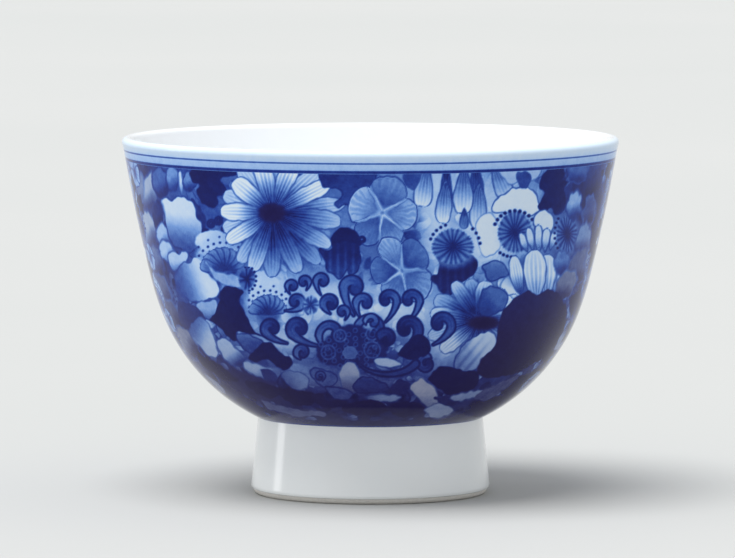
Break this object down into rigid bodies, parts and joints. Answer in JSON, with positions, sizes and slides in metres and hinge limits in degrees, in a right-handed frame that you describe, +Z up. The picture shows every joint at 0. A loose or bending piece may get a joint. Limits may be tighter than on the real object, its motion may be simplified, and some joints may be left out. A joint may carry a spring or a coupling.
{
  "type": "teacup",
  "caption": "Round porcelain teacup with a gently flared lip and a tall hollow foot, painted outside with dense blue flowers under clear glaze.",
  "frame": {"origin": "centre of the circle that the foot stands on", "axes": "+Z up along the cup's axis of turning; -Y faces the viewer, towards the side with the round beaded blossom; +X to the viewer's right"},
  "size_m": [0.0848, 0.0848, 0.061],
  "materials": {
    "porcelain": "matt white fired clay, bare where the foot rests",
    "foot_porcelain": "matt white fired clay, slightly warm at the bare edge",
    "inner_glaze": "clear gloss glaze over white",
    "outer_glaze": "clear gloss glaze, faintly blue over the painting",
    "foot_glaze": "clear gloss glaze over white, faintly blue where it pools",
    "cobalt_line": "brushed cobalt line under gloss glaze",
    "cobalt_painting": "cobalt washes, from pale blue to navy, under gloss glaze"
  },
  "bodies": {
    "root": {"bowl_body": "porcelain", "foot_ring": "foot_porcelain", "luting_slip": "porcelain", "inner_glaze": "inner_glaze", "outer_glaze": "outer_glaze", "foot_glaze": "foot_glaze", "foot_well_glaze": "foot_glaze", "rim_line_upper": "cobalt_line", "rim_line_lower": "cobalt_line", "flower_painting": "cobalt_painting", "foot_line": "cobalt_line"}
  },
  "joints": []
}
